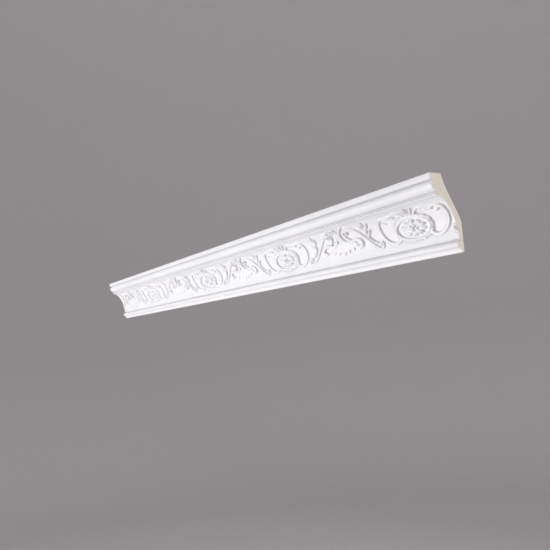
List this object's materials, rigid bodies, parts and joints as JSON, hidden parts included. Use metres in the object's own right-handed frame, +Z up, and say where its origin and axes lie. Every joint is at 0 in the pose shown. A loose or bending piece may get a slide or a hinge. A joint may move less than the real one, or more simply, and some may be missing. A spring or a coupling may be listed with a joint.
{
  "type": "cornice moulding length",
  "caption": "Straight length of enriched cornice for the angle of wall and ceiling: fascia, ovolo, a cove with medallion, scroll and acanthus relief, and a bead at the foot.",
  "frame": {"origin": "middle of the flat face that is glued to the wall", "axes": "+X along the length, +Y into the wall, +Z up to the ceiling"},
  "size_m": [2, 0.075, 0.155],
  "materials": {
    "primed_face": "white factory primer, satin, on a cream polyurethane casting that shows bare on the sawn ends and the back"
  },
  "bodies": {
    "root": {"cornice_length": "primed_face"}
  },
  "joints": []
}
